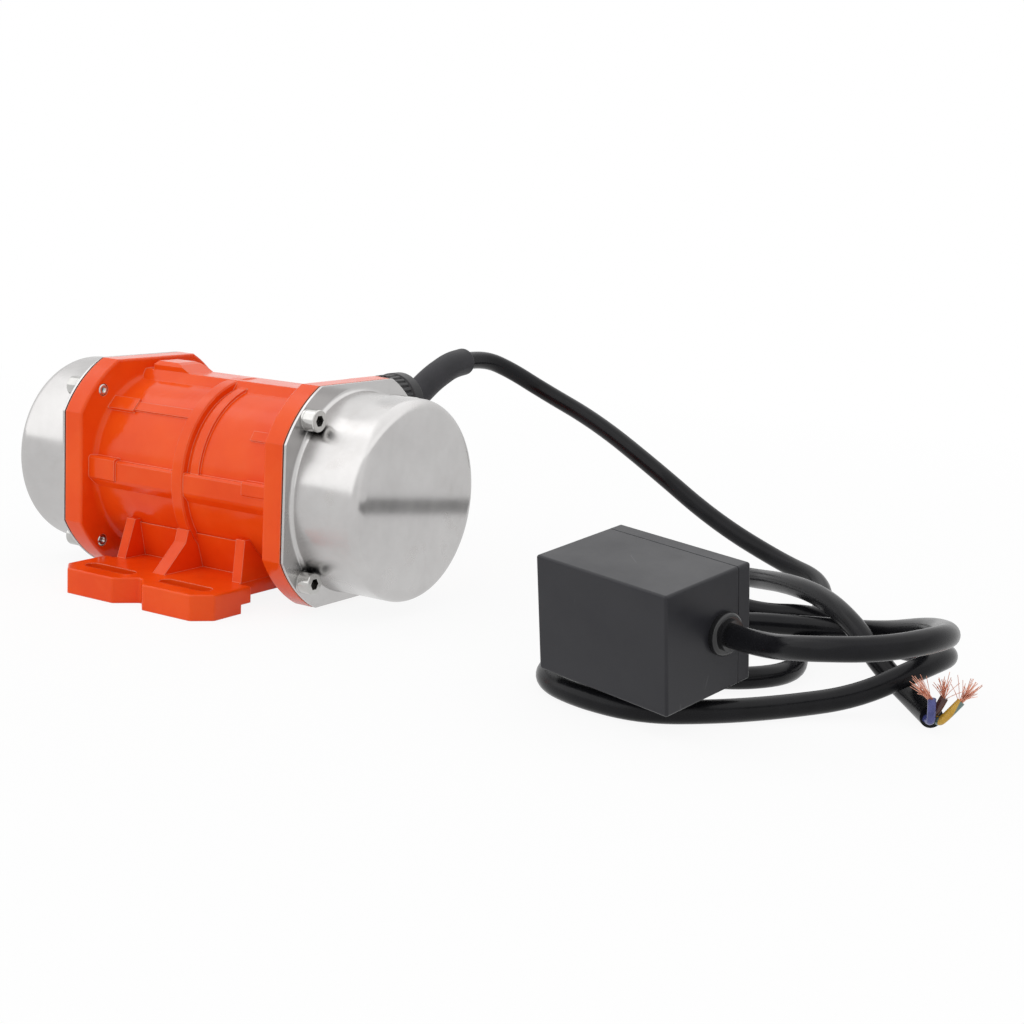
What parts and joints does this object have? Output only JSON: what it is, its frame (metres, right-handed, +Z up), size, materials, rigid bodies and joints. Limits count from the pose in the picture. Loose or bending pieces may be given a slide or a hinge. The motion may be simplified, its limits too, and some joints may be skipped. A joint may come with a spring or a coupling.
{
  "type": "vibration motor",
  "caption": "Vibration motor: cast housing on slotted feet, drawn steel end covers over eccentric weights, and a lead through a capacitor box to a cut end with bare cores.",
  "frame": {"origin": "centre of the feet at their underside, below the middle of the shaft", "axes": "+X along the shaft towards the cable entry's end, -Y towards the front feet, +Z up"},
  "size_m": [0.4017, 0.234, 0.0933],
  "materials": {
    "orange_paint": "gloss paint on a casting",
    "lamination_steel": "stacked sheet",
    "copper": "enamelled or bare copper wire",
    "lead_insulation": "matte",
    "machined_steel": "turned and milled",
    "bearing_steel": "ground",
    "spring_steel": "oiled black",
    "cast_aluminium": "as cast",
    "stainless_sheet": "satin with handling smudges",
    "plated_screw": "bright plating",
    "black_rubber": "matte",
    "black_plastic": "matte moulding",
    "grey_plastic": "matte",
    "cable_sheath": "semi-gloss",
    "core_blue": "semi-gloss",
    "core_brown": "semi-gloss",
    "core_green_yellow": "semi-gloss"
  },
  "bodies": {
    "frame": {"housing": "orange_paint", "housing_base": "orange_paint", "stator_core": "lamination_steel", "stator_winding": "copper", "motor_leads": "lead_insulation", "gland_body": "black_plastic", "gland_nut": "black_plastic", "gland_seal": "black_rubber", "cable_sleeve": "black_rubber", "box_body": "black_plastic", "box_lid": "black_plastic", "box_screws": "plated_screw", "capacitor": "grey_plastic", "terminal_block": "grey_plastic", "motor_cable": "cable_sheath", "power_lead": "cable_sheath", "end_shield_left": "cast_aluminium", "end_shield_right": "cast_aluminium", "shield_ring_left": "spring_steel", "shield_ring_right": "spring_steel", "bearing_outer_left": "bearing_steel", "bearing_outer_right": "bearing_steel", "gasket_left": "black_rubber", "gasket_right": "black_rubber", "cover_left": "stainless_sheet", "cover_right": "stainless_sheet", "cover_washers_left": "plated_screw", "cover_washers_right": "plated_screw", "cover_screws_left": "plated_screw", "cover_screws_right": "plated_screw", "grommet_left": "black_rubber", "grommet_right": "black_rubber", "core_blue": "core_blue", "strands_blue": "copper", "core_brown": "core_brown", "strands_brown": "copper", "core_green_yellow": "core_green_yellow", "strands_green_yellow": "copper"},
    "rotor": {"shaft": "machined_steel", "rotor_core": "lamination_steel", "rotor_cage": "cast_aluminium", "key_left": "machined_steel", "key_right": "machined_steel", "bearing_inner_left": "bearing_steel", "bearing_inner_right": "bearing_steel", "fixed_weight_left": "machined_steel", "fixed_weight_right": "machined_steel", "weight_spacers_left": "machined_steel", "weight_spacers_right": "machined_steel", "shaft_ring_left": "spring_steel", "shaft_ring_right": "spring_steel"},
    "ball_set_left": {"bearing_balls_left": "bearing_steel", "bearing_cage_left": "bearing_steel"},
    "adjustable_weight_left": {"adjustable_weight_left": "machined_steel", "clamp_screw_left": "plated_screw"},
    "ball_set_right": {"bearing_balls_right": "bearing_steel", "bearing_cage_right": "bearing_steel"},
    "adjustable_weight_right": {"adjustable_weight_right": "machined_steel", "clamp_screw_right": "plated_screw"}
  },
  "joints": [
    {"name": "rotor_spin", "type": "hinge", "parent": "frame", "child": "rotor", "pos_m": [0, 0, 0.045], "axis": [1, 0, 0], "continuous": true},
    {"name": "ball_set_left_spin", "type": "hinge", "parent": "frame", "child": "ball_set_left", "pos_m": [-0.0495, 0, 0.045], "axis": [1, 0, 0], "continuous": true},
    {"name": "weight_setting_left", "type": "hinge", "parent": "rotor", "child": "adjustable_weight_left", "pos_m": [-0.0735, 0, 0.045], "axis": [1, 0, 0], "range_deg": [0, 180]},
    {"name": "ball_set_right_spin", "type": "hinge", "parent": "frame", "child": "ball_set_right", "pos_m": [0.0495, 0, 0.045], "axis": [1, 0, 0], "continuous": true},
    {"name": "weight_setting_right", "type": "hinge", "parent": "rotor", "child": "adjustable_weight_right", "pos_m": [0.0735, 0, 0.045], "axis": [1, 0, 0], "range_deg": [0, 180]}
  ],
  "couplings": [
    {"joint": "ball_set_left_spin", "follows": "rotor_spin", "ratio": 0.382},
    {"joint": "ball_set_right_spin", "follows": "rotor_spin", "ratio": 0.382}
  ]
}
